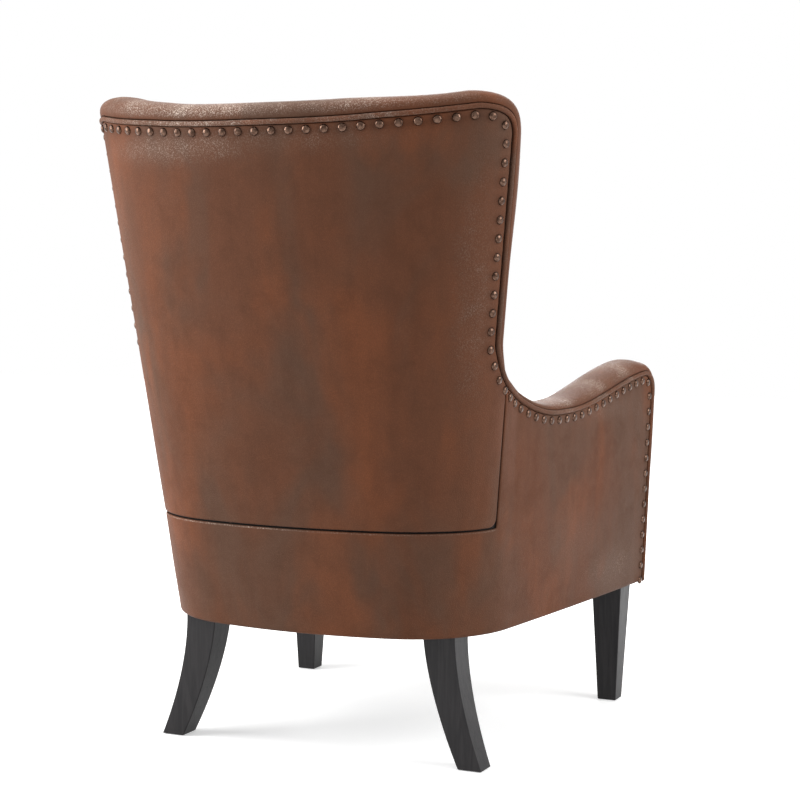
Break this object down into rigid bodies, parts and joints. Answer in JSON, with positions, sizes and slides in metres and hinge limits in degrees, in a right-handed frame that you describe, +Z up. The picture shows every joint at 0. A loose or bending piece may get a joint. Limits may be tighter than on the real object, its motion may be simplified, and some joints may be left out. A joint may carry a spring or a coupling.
{
  "type": "high-backed club chair",
  "caption": "High-backed upholstered club chair with a barrel-shaped wing back, padded arms, piped and studded edges, sabre rear legs and a loose seat cushion that lifts out.",
  "frame": {"origin": "centre of the chair's overall box, on the floor under the glides", "axes": "+Z up, -Y towards the front of the seat, +X towards the sitter's left"},
  "size_m": [0.6772, 0.7857, 0.9714],
  "materials": {
    "hide": "distressed, satin",
    "stud_metal": "antique bronze",
    "leg_wood": "dark stain, satin lacquer",
    "frame_wood": "bare timber",
    "panel_wood": "bare plywood",
    "steel": "zinc plated",
    "webbing": "woven elastic strap",
    "deck_cloth": "woven lining over felt",
    "dust_cloth": "thin non-woven cloth",
    "glide_nylon": "moulded"
  },
  "bodies": {
    "chair": {"front_rail": "frame_wood", "rear_rail": "frame_wood", "side_rail_right": "frame_wood", "side_rail_left": "frame_wood", "rear_block_right": "frame_wood", "rear_block_left": "frame_wood", "front_block_right": "frame_wood", "front_block_left": "frame_wood", "arm_panel_right": "panel_wood", "arm_panel_left": "panel_wood", "arm_hook_right": "steel", "arm_hook_left": "steel", "arm_pad_right": "hide", "arm_pad_left": "hide", "arm_welt_right": "hide", "arm_welt_left": "hide", "arm_studs_right": "stud_metal", "arm_studs_left": "stud_metal", "leg_rear_right": "leg_wood", "leg_rear_left": "leg_wood", "leg_front_right": "leg_wood", "leg_front_left": "leg_wood", "leg_bolt_rear_right": "steel", "leg_bolt_rear_left": "steel", "leg_bolt_front_right": "steel", "leg_bolt_front_left": "steel", "glide_rear_right": "glide_nylon", "glide_rear_left": "glide_nylon", "glide_front_right": "glide_nylon", "glide_front_left": "glide_nylon", "outside_cover": "hide", "front_apron": "hide", "dust_cover": "dust_cloth", "seat_spring_1": "steel", "seat_spring_2": "steel", "seat_spring_3": "steel", "seat_spring_4": "steel", "seat_spring_5": "steel", "seat_deck": "deck_cloth", "back_pad": "hide", "tuft_button_1": "hide", "tuft_button_2": "hide", "tuft_button_3": "hide", "tuft_button_4": "hide", "tuft_button_5": "hide", "tuft_button_6": "hide", "tuft_button_7": "hide", "tuft_button_8": "hide", "back_cover": "hide", "back_welt": "hide", "back_studs": "stud_metal", "back_top_rail": "frame_wood", "back_bottom_rail": "frame_wood", "wing_post_right": "frame_wood", "wing_post_left": "frame_wood", "back_hook_right": "steel", "back_hook_left": "steel", "back_webbing": "webbing"},
    "cushion": {"seat_cushion": "hide"}
  },
  "joints": [
    {"name": "cushion_lift", "type": "slide", "parent": "chair", "child": "cushion", "axis": [0, 0, 1], "range_m": [0, 0.25]}
  ]
}
